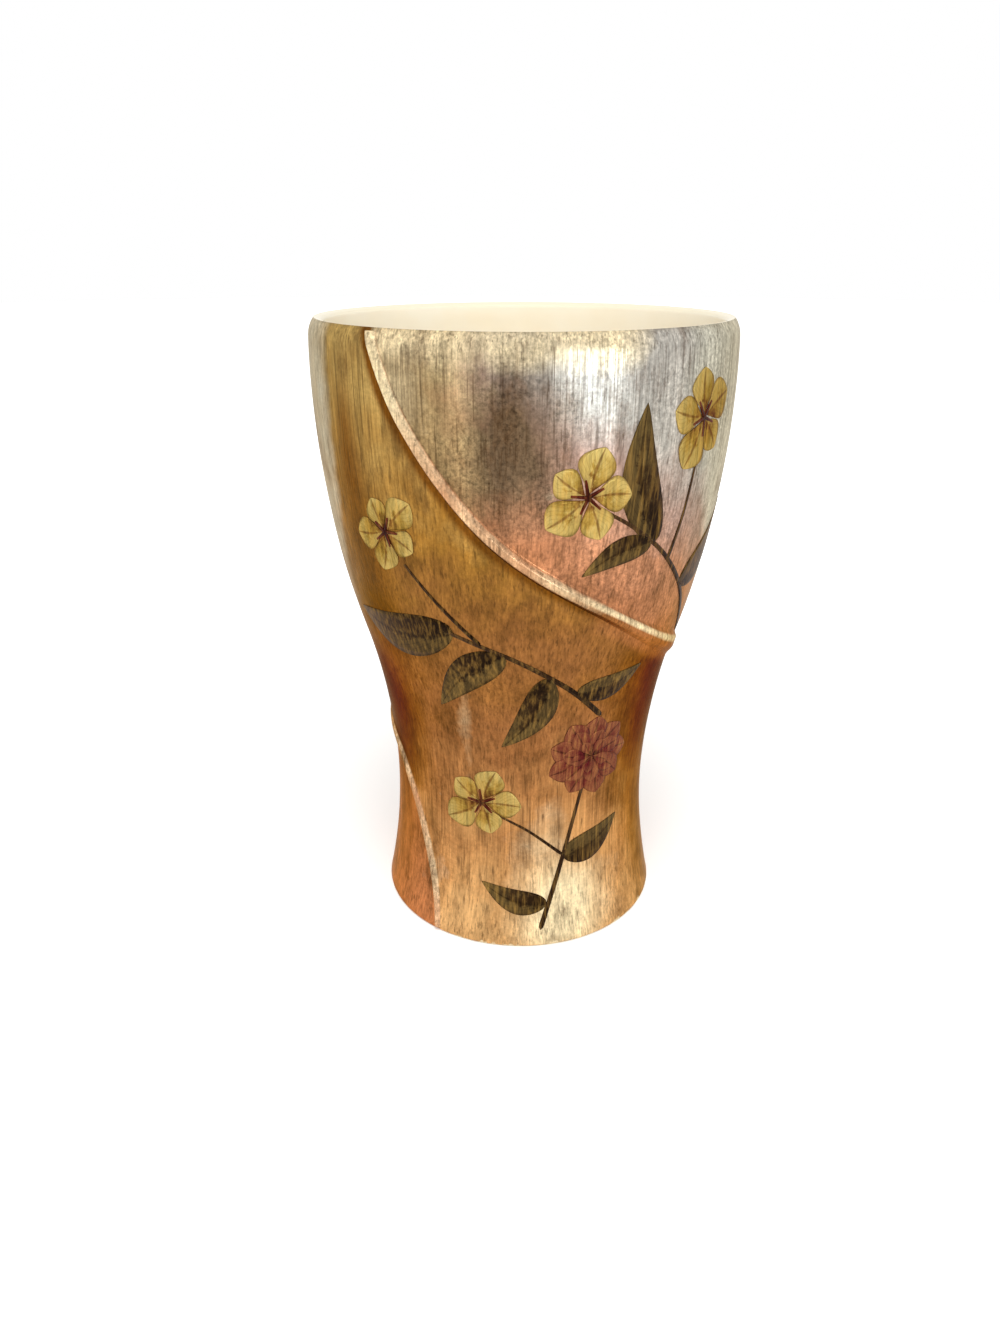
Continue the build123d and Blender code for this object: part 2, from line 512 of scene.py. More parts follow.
def gilded_bamboo():
    """Silver, copper and gold leaf, laid thin over bamboo and varnished: satin, grain shows through."""
    material, tree, shader = new_material("leaf_gilded_bamboo")
    finish = bpy.context.scene.vase_finish
    place = add(tree, "TexCoord")["Object"]
    axes = add(tree, "SeparateXYZ", {"Vector": place})
    zone_field = add(tree, "Attribute", attribute_name="zones")
    zones = add(tree, "SeparateColor", {"Color": zone_field["Color"]})
    mark_and_light_field = add(tree, "Attribute", attribute_name="marks_and_light")
    marks_and_light = add(tree, "SeparateColor", {"Color": mark_and_light_field["Color"]})

    # Wandering edge for the soft changes of tone
    clouds = add(
        tree, "TexNoise", {"Vector": place, "Scale": 1 / 0.022, "Detail": 6.0, "Roughness": 0.6}
    )["Fac"]
    wander = add(tree, "MapRange", {0: clouds, 1: 0.3, 2: 0.7, 3: -0.2, 4: 0.2})[0]

    # Below the rib: pale gold at the foot, copper brown at the waist, ochre up the left side; the
    # darker copper over the belly's underside is partly painted shade
    rise = add(tree, "MapRange", {0: axes["Z"], 1: 0.0, 2: cad_high.z})[0]
    short_wander = add(tree, "Math", {0: wander, 1: 0.5}, operation="MULTIPLY")[0]
    loose_rise = add(tree, "Math", {0: rise, 1: short_wander}, operation="ADD")[0]
    stops = [
        (0.0, "D6A870"),
        (0.12, tuple(finish.gold)),
        (0.26, "B07A48"),
        (0.4, "986439"),
        (0.55, "926131"),
        (0.72, "966A2C"),
        (1.0, "B69658"),
    ]
    low_tones = add(tree, "ValToRGB", {"Fac": loose_rise}, stops)["Color"]
    # Painted shade, and a painted shadow under the rib, in brown where the marks' blue says
    lower = leaf_edge(tree, marks_and_light["Blue"], wander, low_tones, colour("704412"))

    # Above the rib: pink copper next to it, mauve, then silver, with champagne to the left
    loose_above = add(tree, "Math", {0: zones["Blue"], 1: short_wander}, operation="ADD")[0]
    stops = [
        (0.0, "B27650"),
        (0.3, "BB8361"),
        (0.55, "AE9082"),
        (0.8, tuple(finish.silver)),
        (1.0, "B8B2A8"),
    ]
    high_tones = add(tree, "ValToRGB", {"Fac": loose_above}, stops)["Color"]
    stops = [(0.0, "7E6644"), (0.3, "A88E64"), (0.65, "D2BC8C"), (1.0, "EEDFB4")]
    champagne = add(tree, "ValToRGB", {"Fac": loose_above}, stops)["Color"]
    # Painted dark reflection: taupe over the silver where the zones' alpha says
    dark_reflected = leaf_edge(tree, zone_field["Alpha"], wander, high_tones, colour("68543F"))
    upper = leaf_edge(tree, marks_and_light["Red"], wander, dark_reflected, champagne)
    both = add(tree, "Mix", {0: zones["Red"], 6: lower, 7: upper}, data_type="RGBA")[2]
    coppered = add(
        tree, "Mix", {0: zones["Green"], 6: both, 7: tuple(finish.copper)}, data_type="RGBA"
    )[2]
    # Painted sheen: pale khaki down both sides where the marks' green says
    sheened = leaf_edge(tree, marks_and_light["Green"], wander, coppered, colour("C8C4B4"))
    # Painted highlights: pale leaf where the marks' alpha says
    leafed = leaf_edge(tree, mark_and_light_field["Alpha"], wander, sheened, colour("F0DAAE"))

    # Worn patches, where the leaf is thin and the brown size under it shows
    sizes = (1 / 0.009, 1 / 0.009, 1 / 0.02)
    drawn = add(tree, "Mapping", {"Vector": place, "Scale": sizes})["Vector"]
    patches = add(
        tree, "TexNoise", {"Vector": drawn, "Scale": 1.0, "Detail": 9.0, "Roughness": 0.72}
    )["Fac"]
    worn = add(tree, "MapRange", {0: patches, 1: 0.5, 2: 0.76, 3: 0.0, 4: 0.8})[0]
    patched = add(tree, "Mix", {0: worn, 6: leafed, 7: colour("5E3C1C")}, data_type="RGBA")[2]
    mottle = add(tree, "MapRange", {0: patches, 1: 0.3, 2: 0.7, 3: 1.14, 4: 0.88})[0]

    # Stipple of the leaf, about a millimetre, uneven, and strongest in the silver and in its painted
    # dark reflection
    specks = add(
        tree, "TexNoise", {"Vector": place, "Scale": 1 / 0.0011, "Detail": 4.0, "Roughness": 0.7}
    )["Fac"]
    speck_field = add(tree, "Math", {0: zones["Red"], 1: zone_field["Alpha"]}, operation="ADD")[0]
    zone_depth = add(tree, "MapRange", {0: speck_field, 1: 0.0, 2: 2.0, 3: 0.9, 4: 3.1})[0]
    cloud_depth = add(tree, "MapRange", {0: clouds, 1: 0.35, 2: 0.65, 3: 0.4, 4: 1.3})[0]
    speck_depth = add(tree, "Math", {0: zone_depth, 1: cloud_depth}, operation="MULTIPLY")[0]
    centred = add(tree, "Math", {0: specks, 1: 0.5}, operation="SUBTRACT")[0]
    stipple = add(tree, "Math", {0: centred, 1: speck_depth, 2: 1.0}, operation="MULTIPLY_ADD")[0]

    # Fibre streaks about a millimetre apart, deeper towards the rim where the leaf was combed, fainter
    # in the painted dark reflection
    grain = bamboo_grain(tree, 0.0008, 0.04)
    comb_depth = add(tree, "MapRange", {0: rise, 1: 0.86, 2: 1.0, 3: 1.35, 4: 1.7})[0]
    comb_left = add(tree, "MapRange", {0: zone_field["Alpha"], 1: 0.0, 2: 1.0, 3: 1.0, 4: 0.4})[0]
    combed = add(tree, "Math", {0: comb_depth, 1: comb_left}, operation="MULTIPLY")[0]
    level_grain = add(tree, "Math", {0: grain, 1: 0.5}, operation="SUBTRACT")[0]
    streaks = add(tree, "Math", {0: level_grain, 1: combed, 2: 1.0}, operation="MULTIPLY_ADD")[0]
    wide_grain = bamboo_grain(tree, 0.006, 0.12)
    bands = add(tree, "MapRange", {0: wide_grain, 1: 0.3, 2: 0.7, 3: 0.8, 4: 1.2})[0]
    banded = add(tree, "Math", {0: bands, 1: streaks}, operation="MULTIPLY")[0]
    mottled = add(tree, "Math", {0: banded, 1: mottle}, operation="MULTIPLY")[0]
    texture = add(tree, "Math", {0: stipple, 1: mottled}, operation="MULTIPLY")[0]
    streaked = add(
        tree, "Mix", {0: 1.0, 6: patched, 7: texture}, data_type="RGBA", blend_type="MULTIPLY"
    )[2]

    # Thin dark lines of single fibres, and short dark dashes of pore bundles
    fibres = bamboo_grain(tree, 0.0007, 0.03)
    lines = add(tree, "MapRange", {0: fibres, 1: 0.56, 2: 0.63, 3: 0.0, 4: 0.42})[0]
    pores = bamboo_grain(tree, 0.0014, 0.01)
    dashes = add(tree, "MapRange", {0: pores, 1: 0.66, 2: 0.72, 3: 0.0, 4: 0.6})[0]
    dark_grain = add(tree, "Math", {0: lines, 1: dashes}, operation="MAXIMUM")[0]
    dashed = add(tree, "Mix", {0: dark_grain, 6: streaked, 7: colour("3E2814")}, data_type="RGBA")[2]

    # Chips along the foot, where the pale ground shows
    near_foot = add(tree, "MapRange", {0: axes["Z"], 1: 0.0, 2: 0.004, 3: 0.17, 4: -0.15})[0]
    chip_field = add(tree, "Math", {0: patches, 1: near_foot}, operation="ADD")[0]
    chips = add(tree, "MapRange", {0: chip_field, 1: 0.64, 2: 0.68})[0]
    tones = add(tree, "Mix", {0: chips, 6: dashed, 7: colour("EAD9B4")}, data_type="RGBA")[2]

    # Satin, more or less rubbed, with a tinted gloss at the edges and the grain in relief
    satin = add(tree, "MapRange", {0: patches, 1: 0.3, 2: 0.7, 3: 0.26, 4: 0.4})[0]
    stops = [(0.0, "E6CCA8"), (0.26, "D2B080"), (0.42, "AE8E5A"), (0.48, "AE8E5A"), (0.64, "E4D8C0")]
    edge_tones = add(tree, "ValToRGB", {"Fac": rise}, stops)["Color"]
    relief = add(tree, "Bump", {"Height": grain, "Strength": 0.5, "Distance": 0.0002})
    looks = {
        "Base Color": tones,
        "Roughness": satin,
        "Metallic": 0.88,
        "Specular Tint": edge_tones,
        "Specular IOR Level": 0.1,
        "Normal": relief["Normal"],
    }
    fill(tree, shader, looks)
    return material


def ivory_lacquer():
    """Ivory lacquer, brushed on in thin coats: soft gloss, faintly cloudy."""
    material, tree, shader = new_material("ivory_lacquer")
    ivory = tuple(bpy.context.scene.vase_finish.ivory)
    shape = bpy.context.scene.vase_shape
    place = add(tree, "TexCoord")["Object"]
    clouds = add(tree, "TexNoise", {"Vector": place, "Scale": 1 / 0.025, "Detail": 4.0})["Fac"]
    tones = add(tree, "ValToRGB", {"Fac": clouds}, [(0.3, "FDF2DA"), (0.6, ivory)])["Color"]

    # The lip is handled most and a little duller
    axes = add(tree, "SeparateXYZ", {"Vector": place})
    lip_foot = shape.height - shape.lip_drop
    on_lip = add(tree, "MapRange", {0: axes["Z"], 1: lip_foot, 2: lip_foot + 0.001})[0]
    rubbed = add(tree, "Mix", {0: on_lip, 6: tones, 7: colour("EAE0C6")}, data_type="RGBA")[2]
    grain = bamboo_grain(tree, 0.002, 0.06)
    relief = add(tree, "Bump", {"Height": grain, "Strength": 0.15, "Distance": 0.0001})
    looks = {"Base Color": rubbed, "Roughness": 0.28, "Normal": relief["Normal"]}
    fill(tree, shader, looks)
    return material


def sawn_fibres(tree, across):
    """Straw-coloured fibres of sawn bamboo that lie from front to back, with their width in metres."""
    bamboo = tuple(bpy.context.scene.vase_finish.bamboo)
    place = add(tree, "TexCoord")["Object"]
    sizes = (1 / across, 1 / 0.03, 1.0)
    drawn = add(tree, "Mapping", {"Vector": place, "Scale": sizes})["Vector"]
    fibres = add(tree, "TexNoise", {"Vector": drawn, "Scale": 1.0, "Detail": 4.0})["Fac"]
    stops = [(0.35, "9C7440"), (0.55, bamboo), (0.75, "D8B57C")]
    return add(tree, "ValToRGB", {"Fac": fibres}, stops)["Color"]


def bare_bamboo():
    """Sawn bamboo without finish: straw coloured, matt, with darker fibre bundles."""
    material, tree, shader = new_material("sawn_bamboo")
    fill(tree, shader, {"Base Color": sawn_fibres(tree, 0.0012), "Roughness": 0.65})
    return material


def floor_board():
    """The floor board: sawn bamboo below, ivory lacquer on its upper face."""
    material, tree, shader = new_material("lacquered_bamboo_board")
    ivory = tuple(bpy.context.scene.vase_finish.ivory)
    lacquer_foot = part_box("floor_disc")[1].z - LACQUER
    place = add(tree, "TexCoord")["Object"]
    axes = add(tree, "SeparateXYZ", {"Vector": place})
    on_top = add(tree, "Math", {0: axes["Z"], 1: lacquer_foot}, operation="GREATER_THAN")[0]
    board = sawn_fibres(tree, 0.0015)
    tones = add(tree, "Mix", {0: on_top, 6: board, 7: ivory}, data_type="RGBA")[2]
    fill(tree, shader, {"Base Color": tones, "Roughness": 0.4})
    return material


def printed_paper(name, inks, thin, halved, sheen):
    """Printed tissue, pasted and varnished: mottled ink with a dark outline, grain shows through."""
    material, tree, shader = new_material(name)
    dark, body, light = (colour(code) for code in inks)
    print_map = add(tree, "UVMap", uv_map="print")["UV"]
    ways = add(tree, "SeparateXYZ", {"Vector": print_map})
    place = add(tree, "TexCoord")["Object"]
    mottle = add(
        tree, "TexNoise", {"Vector": place, "Scale": 1 / 0.003, "Detail": 7.0, "Roughness": 0.72}
    )["Fac"]
    wander = add(tree, "MapRange", {0: mottle, 1: 0.3, 2: 0.7, 3: -0.3, 4: 0.3})[0]

    # From the dark foot of the piece to its body tone
    way = add(tree, "Math", {0: ways["X"], 1: wander}, operation="ADD")[0]
    stops = [(0.06, dark), (0.42, body), (1.0, light)]
    printed = add(tree, "ValToRGB", {"Fac": way}, stops)["Color"]

    # One half of the piece is lighter, as light falls across a folded leaf
    side = add(tree, "Math", {0: ways["Y"], 1: wander}, operation="ADD")[0]
    lit = add(tree, "MapRange", {0: side, 1: 0.48, 2: 0.6, 3: 0.0, 4: halved})[0]
    shaded = add(tree, "Mix", {0: lit, 6: printed, 7: light}, data_type="RGBA")[2]

    # Veins that leave the midrib slantwise, the midrib and the outline, all in the dark ink
    off_middle = add(tree, "Math", {0: ways["Y"], 1: 0.5}, operation="SUBTRACT")[0]
    spread = add(tree, "Math", {0: off_middle}, operation="ABSOLUTE")[0]
    slant = add(tree, "Math", {0: spread, 1: -1.1, 2: ways["X"]}, operation="MULTIPLY_ADD")[0]
    rows = add(tree, "Math", {0: slant, 1: 14.0}, operation="MULTIPLY")[0]
    waves = add(tree, "Math", {0: rows, 1: 1.0}, operation="PINGPONG")[0]
    veins = add(tree, "MapRange", {0: waves, 1: 0.0, 2: 0.22, 3: 0.4, 4: 0.0})[0]
    midrib = add(tree, "MapRange", {0: spread, 1: 0.02, 2: 0.06, 3: 0.7, 4: 0.0})[0]
    border = add(tree, "MapRange", {0: spread, 1: 0.43, 2: 0.49, 3: 0.0, 4: 0.6})[0]
    broken = add(tree, "MapRange", {0: mottle, 1: 0.42, 2: 0.6, 3: 0.15, 4: 1.0})[0]
    edging = add(tree, "Math", {0: border, 1: broken}, operation="MULTIPLY")[0]
    lines = add(tree, "Math", {0: veins, 1: midrib}, operation="MAXIMUM")[0]
    inked = add(tree, "Math", {0: lines, 1: edging}, operation="MAXIMUM")[0]
    drawn = add(tree, "Mix", {0: inked, 6: shaded, 7: dark}, data_type="RGBA")[2]

    # The gold behind shows through where the print is thin, along the bamboo's grain
    grain = bamboo_grain(tree, 0.001, 0.04)
    opened = add(tree, "MapRange", {0: grain, 1: 0.45, 2: 0.75, 3: 0.0, 4: thin})[0]
    leafed = add(tree, "Mix", {0: opened, 6: drawn, 7: colour("A8803E")}, data_type="RGBA")[2]
    streaks = add(tree, "MapRange", {0: grain, 1: 0.3, 2: 0.7, 3: 0.62, 4: 1.38})[0]
    tones = add(
        tree, "Mix", {0: 1.0, 6: leafed, 7: streaks}, data_type="RGBA", blend_type="MULTIPLY"
    )[2]
    relief = add(tree, "Bump", {"Height": grain, "Strength": 0.4, "Distance": 0.0002})
    looks = {
        "Base Color": tones,
        "Roughness": 0.36,
        "Metallic": sheen,
        "Specular Tint": colour("A88858"),
        "Specular IOR Level": 0.12,
        "Normal": relief["Normal"],
    }
    fill(tree, shader, looks)
    return material


def paper_patch(mesh, outline, parts, place, lift):
    """Adds one closed paper patch to a bmesh: place turns shares along and across to a flat place."""
    paper = bpy.context.scene.vase_shape.paper
    prints = mesh.loops.layers.uv.get("print") or mesh.loops.layers.uv.new("print")
    along, across = parts
    grid = bmesh.ops.create_grid(mesh, x_segments=along, y_segments=across, size=0.5)["verts"]
    shares = {vert: (vert.co.x + 0.5, vert.co.y + 0.5) for vert in grid}
    faces = list({face for vert in grid for face in vert.link_faces})
    for face in faces:
        for loop in face.loops:
            loop[prints].uv = shares[loop.vert]
    for vert, (forward, sideways) in shares.items():
        vert.co = (*outline.rolled(place(forward, sideways)), 0.0)
    raised = bmesh.ops.extrude_face_region(mesh, geom=faces)["geom"]
    tops = [item for item in raised if isinstance(item, bmesh.types.BMVert)]
    for verts, level in ((grid, -paper), (tops, lift + paper)):
        for vert in verts:
            vert.co = outline.point(vert.co.x, vert.co.y, level)


def leaf_patch(mesh, outline, start, end, width, belly, bow, lift=0.0):
    """One leaf or petal between two flat places; its belly and its bow are shares of its length."""
    run = end - start
    side = Vector((-run.y, run.x)) / run.length
    power = math.log(0.5) / math.log(belly)

    def place(forward, sideways):
        breadth = width / 2 * math.sin(math.pi * forward**power) ** FULLNESS
        shift = bow * run.length * math.sin(math.pi * forward)
        return start + run * forward + side * ((sideways * 2 - 1) * breadth + shift)

    paper_patch(mesh, outline, LEAF_PARTS, place, lift)


def stem_patch(mesh, outline, route, width, lift=0.0):
    """One stem along a route of flat places, tapering to half its width."""

    def place(forward, sideways):
        here = through(route, forward)
        run = through(route, forward + STEM_STEP) - through(route, forward - STEM_STEP)
        side = Vector((-run.y, run.x)) / run.length
        breadth = width * (1 - 0.5 * forward) * min(forward / STEM_ROUND, 1.0) ** 0.5
        return here + side * (sideways - 0.5) * breadth

    paper_patch(mesh, outline, STEM_PARTS, place, lift)


def rib_swell(across, upper, lower, roll):
    """Height of the rib's section, 0 to 1: soft above, crisp below the bead, soft below the roll."""
    if across > 0:
        return RIB_MIDDLE * (1 - smooth_step(0.0, 1.0, across / upper))
    share = min(-across / lower, 1.0)
    soft = 1 - smooth_step(0.4, 1.0, share)
    crisp = math.cos(math.pi / 2 * smooth_step(0.3, 1.0, share)) ** 0.7
    top = RIB_MIDDLE + (1 - RIB_MIDDLE) * smooth_step(0.0, 0.4, share)
    return top * (soft * roll + crisp * (1 - roll))


class VASE_OT_wall(bpy.types.Operator):
    """Turns the wall of glued staves, gilded outside and lacquered inside"""

    bl_idname = "vase.wall"
    bl_label = "Wall"

    def execute(self, context):
        shape = context.scene.vase_shape
        outline = Outline(shape)
        mesh = bmesh.new()

        # Section: round the foot, up the outside, over the rim, down the inside, across the foot
        section = []
        for number in range(FOOT_STEPS):
            angle = math.radians(90 - 90 / FOOT_STEPS * number)
            inset = shape.foot_round * (1 - math.cos(angle))
            height = shape.foot_round * (1 - math.sin(angle))
            section.append((outline.radius(height) - inset, height))
        for number in range(OUTSIDE_STEPS + 1):
            share = number / OUTSIDE_STEPS
            height = shape.foot_round + (shape.height - shape.foot_round) * share
            section.append((outline.outside(height), height))
        lip_depth = shape.wall - shape.turn_in
        for number in range(1, LIP_STEPS + 1):
            angle = math.pi / 2 * number / LIP_STEPS
            inset = shape.turn_in + lip_depth * math.sin(angle)
            height = shape.height - shape.lip_drop * (1 - math.cos(angle))
            section.append((outline.radius(shape.height) - inset, height))
        for number in range(1, INSIDE_STEPS + 1):
            height = (shape.height - shape.lip_drop) * (1 - number / INSIDE_STEPS)
            section.append((outline.radius(height, shape.wall), height))
        ring = [mesh.verts.new((0.0, -radius, height)) for radius, height in section]
        edges = [mesh.edges.new(pair) for pair in zip(ring, ring[1:] + ring[:1])]
        bmesh.ops.spin(
            mesh,
            geom=ring + edges,
            axis=(0, 0, 1),
            cent=(0, 0, 0),
            angle=2 * math.pi,
            steps=ROUND_STEPS,
            use_merge=True,
        )

        # Hand work leaves the outside a little uneven
        for vert in mesh.verts:
            turn = math.atan2(vert.co.x, -vert.co.y)
            radius = math.hypot(vert.co.x, vert.co.y)
            if outline.outside(vert.co.z) - radius < shape.wall * OUTSIDE_DEPTH:
                push = 1 + outline.unevenness(turn, vert.co.z) / radius
                vert.co.x *= push
                vert.co.y *= push

        # Bare bamboo under the foot, lacquer inside and on the lip, leaf on the rest
        for face in mesh.faces:
            spot = face.calc_center_median()
            depth = outline.outside(spot.z) - math.hypot(spot.x, spot.y)
            in_lip = spot.z > outline.shoulder_foot and depth > LIP_EDGE
            if spot.z < UNDER_FOOT:
                face.material_index = 2
            elif depth > shape.wall * INSIDE_DEPTH or in_lip:
                face.material_index = 1
        wall = finished(mesh, "vase_wall", [gilded_bamboo(), ivory_lacquer(), bare_bamboo()])
        paint_zones(wall.data)
        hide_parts(*[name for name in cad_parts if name.startswith("stave_")])
        return {"FINISHED"}


class VASE_OT_floor(bpy.types.Operator):
    """Finishes the floor board"""

    bl_idname = "vase.floor"
    bl_label = "Floor"

    def execute(self, context):
        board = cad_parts["floor_disc"].data
        board.materials.clear()
        board.materials.append(floor_board())
        return {"FINISHED"}


class VASE_OT_rib(bpy.types.Operator):
    """Lays the raised rib round the wall: a narrow bead at both ends, a broad roll at the back"""

    bl_idname = "vase.rib"
    bl_label = "Rib"

    def execute(self, context):
        shape = context.scene.vase_shape
        outline = Outline(shape)
        mesh = bmesh.new()
        rubbed = mesh.verts.layers.float.new("rubbed")
        shaded = mesh.verts.layers.float.new("shaded")
        along, wide = RIB_PARTS
        grid = bmesh.ops.create_grid(mesh, x_segments=along, y_segments=wide, size=0.5)["verts"]
        sunk = bmesh.ops.extrude_face_region(mesh, geom=mesh.faces[:])["geom"]
        below = {item for item in sunk if isinstance(item, bmesh.types.BMVert)}
        shares = {vert: (vert.co.x + 0.5, vert.co.y + 0.5) for vert in [*grid, *below]}
        for vert, (forward, sideways) in shares.items():
            spot = through(RIB_ROUTE, forward)
            here = outline.flat(spot)
            ahead, behind = (
                outline.flat(through(RIB_ROUTE, forward + step)) for step in (RIB_STEP, -RIB_STEP)
            )
            run = ahead - behind
            side = Vector((-run.y, run.x)) / run.length
            share = (spot.x - RIB_START) / (RIB_END - RIB_START)
            roll = math.sin(math.pi * min(max(share, 0.0), 1.0)) ** 3
            lower = shape.rib_bead + (shape.rib_roll - shape.rib_bead) * roll
            across = (shape.rib_bead + lower) * sideways - lower
            crest = shape.rib_crest * (1 - RIB_FALL * share)
            swell = rib_swell(across, shape.rib_bead, lower, roll)

            # Rubbed pale over the bead, wear and painted highlight, to the right a painted highlight
            # along its crest only, and a painted shadow along its lower edge
            bead = smooth_step(0.02, 0.4, swell) * (1 - 0.95 * roll)
            crest_highlight = smooth_step(0.3, 0.75, swell) * smooth_step(0.34, 0.06, -across / lower)
            right = smooth_step(2, 34, spot.x) * smooth_step(110, 80, spot.x)
            vert[rubbed] = bead + (crest_highlight - bead) * right
            vert[shaded] = smooth_step(0.58, 0.8, -across / lower) * smooth_step(60, 15, spot.x)
            lift = -RIB_ROOT if vert in below else crest * swell - RIB_SINK
            vert.co = outline.point(*outline.rolled(here, side * across), lift)

        # Both ends are cut off level
        for level, upward in ((shape.height - RIB_GAP, 1), (shape.foot_round, -1)):
            cut = bmesh.ops.bisect_plane(
                mesh,
                geom=mesh.verts[:] + mesh.edges[:] + mesh.faces[:],
                dist=CUT,
                plane_co=(0, 0, level),
                plane_no=(0, 0, upward),
                clear_outer=True,
            )["geom_cut"]
            edges = [item for item in cut if isinstance(item, bmesh.types.BMEdge)]
            bmesh.ops.contextual_create(mesh, geom=edges)
        rib = finished(mesh, "spiral_rib_gilded", [bpy.data.materials["leaf_gilded_bamboo"]])

        # The rubbed metal, with its painted highlight, is as pale as the silver, without the painted
        # dark reflection; the painted shadow along the bead's lower edge goes in brown
        paint_zones(rib.data)
        names = ("zones", "marks_and_light", "rubbed", "shaded")
        layers = [rib.data.attributes[name].data for name in names]
        for vertex, zone, mark_and_light, item, edge in zip(rib.data.vertices, *layers):
            share = vertex.co.z / shape.height
            # How strong the painted highlight on the bead is, higher near the rim and around the middle
            highlight_cream = 0.34 + 0.5 * smooth_step(0.8, 0.93, share)
            highlight_cream += 0.45 * smooth_step(0.44, 0.52, share) * smooth_step(0.7, 0.6, share)
            wear_and_highlight = item.value * (1 - edge.value)
            bare = 1 - wear_and_highlight
            silver, copper, above, dark_reflection = zone.color
            champagne, khaki_sheen, brown, pale = (tone * bare for tone in mark_and_light.color)
            silvered = max(silver * (1 - edge.value), wear_and_highlight)
            zone.color = (silvered, copper * bare, above * bare, dark_reflection * bare - wear_and_highlight)
            mark_and_light.color = (champagne, khaki_sheen, max(brown, edge.value), max(pale, highlight_cream * wear_and_highlight))
        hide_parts("spiral_rib")
        return {"FINISHED"}


class VASE_OT_stems(bpy.types.Operator):
    """Pastes the paper stems on the wall"""

    bl_idname = "vase.stems"
    bl_label = "Stems"

    def execute(self, context):
        outline = Outline(context.scene.vase_shape)
        material = printed_paper("stem_print", *STEM_PRINT)
        for number, (route, width) in enumerate(STEMS):
            mesh = bmesh.new()
            stem_patch(mesh, outline, [outline.flat(spot) for spot in route], width * MILLIMETRE)
            finished(mesh, f"paper_stem_{number + 1}", [material])
        return {"FINISHED"}


class VASE_OT_leaves(bpy.types.Operator):
    """Pastes the paper leaves on the wall"""

    bl_idname = "vase.leaves"
    bl_label = "Leaves"

    def execute(self, context):
        outline = Outline(context.scene.vase_shape)
        material = printed_paper("leaf_print", *LEAF_PRINT)
        for number, (base, tip, width) in enumerate(LEAVES):
            mesh = bmesh.new()
            bow = LEAF_BOW if number % 2 else -LEAF_BOW
            start, end = outline.flat(base), outline.flat(tip)
            leaf_patch(mesh, outline, start, end, width * MILLIMETRE, LEAF_BELLY, bow)
            finished(mesh, f"paper_leaf_{number + 1}", [material])
        return {"FINISHED"}


class VASE_OT_blossoms(bpy.types.Operator):
    """Pastes the five-petalled paper blossoms and their stamens on the wall"""

    bl_idname = "vase.blossoms"
    bl_label = "Blossoms"

    def execute(self, context):
        outline = Outline(context.scene.vase_shape)
        petals = printed_paper("petal_print", *PETAL_PRINT)
        stamens = printed_paper("stamen_print", *STAMEN_PRINT)
        for number, (spot, radius) in enumerate(BLOSSOMS):
            centre = outline.flat(spot)
            reach = radius * MILLIMETRE
            mesh = bmesh.new()
            hearts = bmesh.new()
            for petal in range(PETALS):
                angle = math.radians(360 / PETALS * petal + BLOSSOM_TURN * number)
                way = Vector((math.cos(angle), math.sin(angle)))

                # Petals differ a little in length
                size = reach * (1 + 0.12 * math.sin(2.4 * petal + number))
                start, end = centre + way * MILLIMETRE, centre + way * size
                width, lift = size * PETAL_WIDTH, PETAL_STEP * petal
                leaf_patch(mesh, outline, start, end, width, PETAL_BELLY, PETAL_BOW, lift)
                angle += STAMEN_TURN
                way = Vector((math.cos(angle), math.sin(angle)))
                route = [centre + way * reach * share for share in STAMEN_WAY]
                stem_patch(hearts, outline, route, STAMEN_WIDTH, STAMEN_LIFT)
            finished(mesh, f"paper_blossom_{number + 1}", [petals])
            finished(hearts, f"paper_stamens_{number + 1}", [stamens])
        return {"FINISHED"}


class VASE_OT_rosette(bpy.types.Operator):
    """Pastes the full crimson rosette on the wall, in three rings of petals"""

    bl_idname = "vase.rosette"
    bl_label = "Rosette"

    def execute(self, context):
        outline = Outline(context.scene.vase_shape)
        material = printed_paper("rosette_print", *ROSETTE_PRINT)
        spot, radius = ROSETTE
        centre = outline.flat(spot)
        mesh = bmesh.new()
        for ring, (count, share) in enumerate(ROSETTE_RINGS):
            for petal in range(count):
                # Each ring is turned against the one below it, and petals differ a little in length
                angle = 2 * math.pi * (petal + 0.3 * ring) / count
                way = Vector((math.cos(angle), math.sin(angle)))
                reach = radius * MILLIMETRE * share * (1 + 0.08 * math.sin(3.1 * petal + ring))
                end = centre + way * reach
                lift = RING_STEP * ring + RING_PETAL_STEP * petal
                width = reach * RING_WIDTH
                leaf_patch(mesh, outline, centre, end, width, RING_BELLY, RING_BOW, lift)
        finished(mesh, "paper_rosette", [material])
        return {"FINISHED"}


def seen_share(tree, mirrored):
    """1 for what the camera sees straight, a given share for what it sees in a gloss, 0 for light."""
    rays = add(tree, "LightPath")
    straight, glossy, clear = (rays[f"Is {kind} Ray"] for kind in ("Camera", "Glossy", "Transmission"))
    bounced = add(tree, "Math", {0: glossy, 1: clear}, operation="MAXIMUM")[0]
    lesser = add(tree, "Math", {0: bounced, 1: mirrored}, operation="MULTIPLY")[0]
    return add(tree, "Math", {0: straight, 1: lesser}, operation="MAXIMUM")[0]


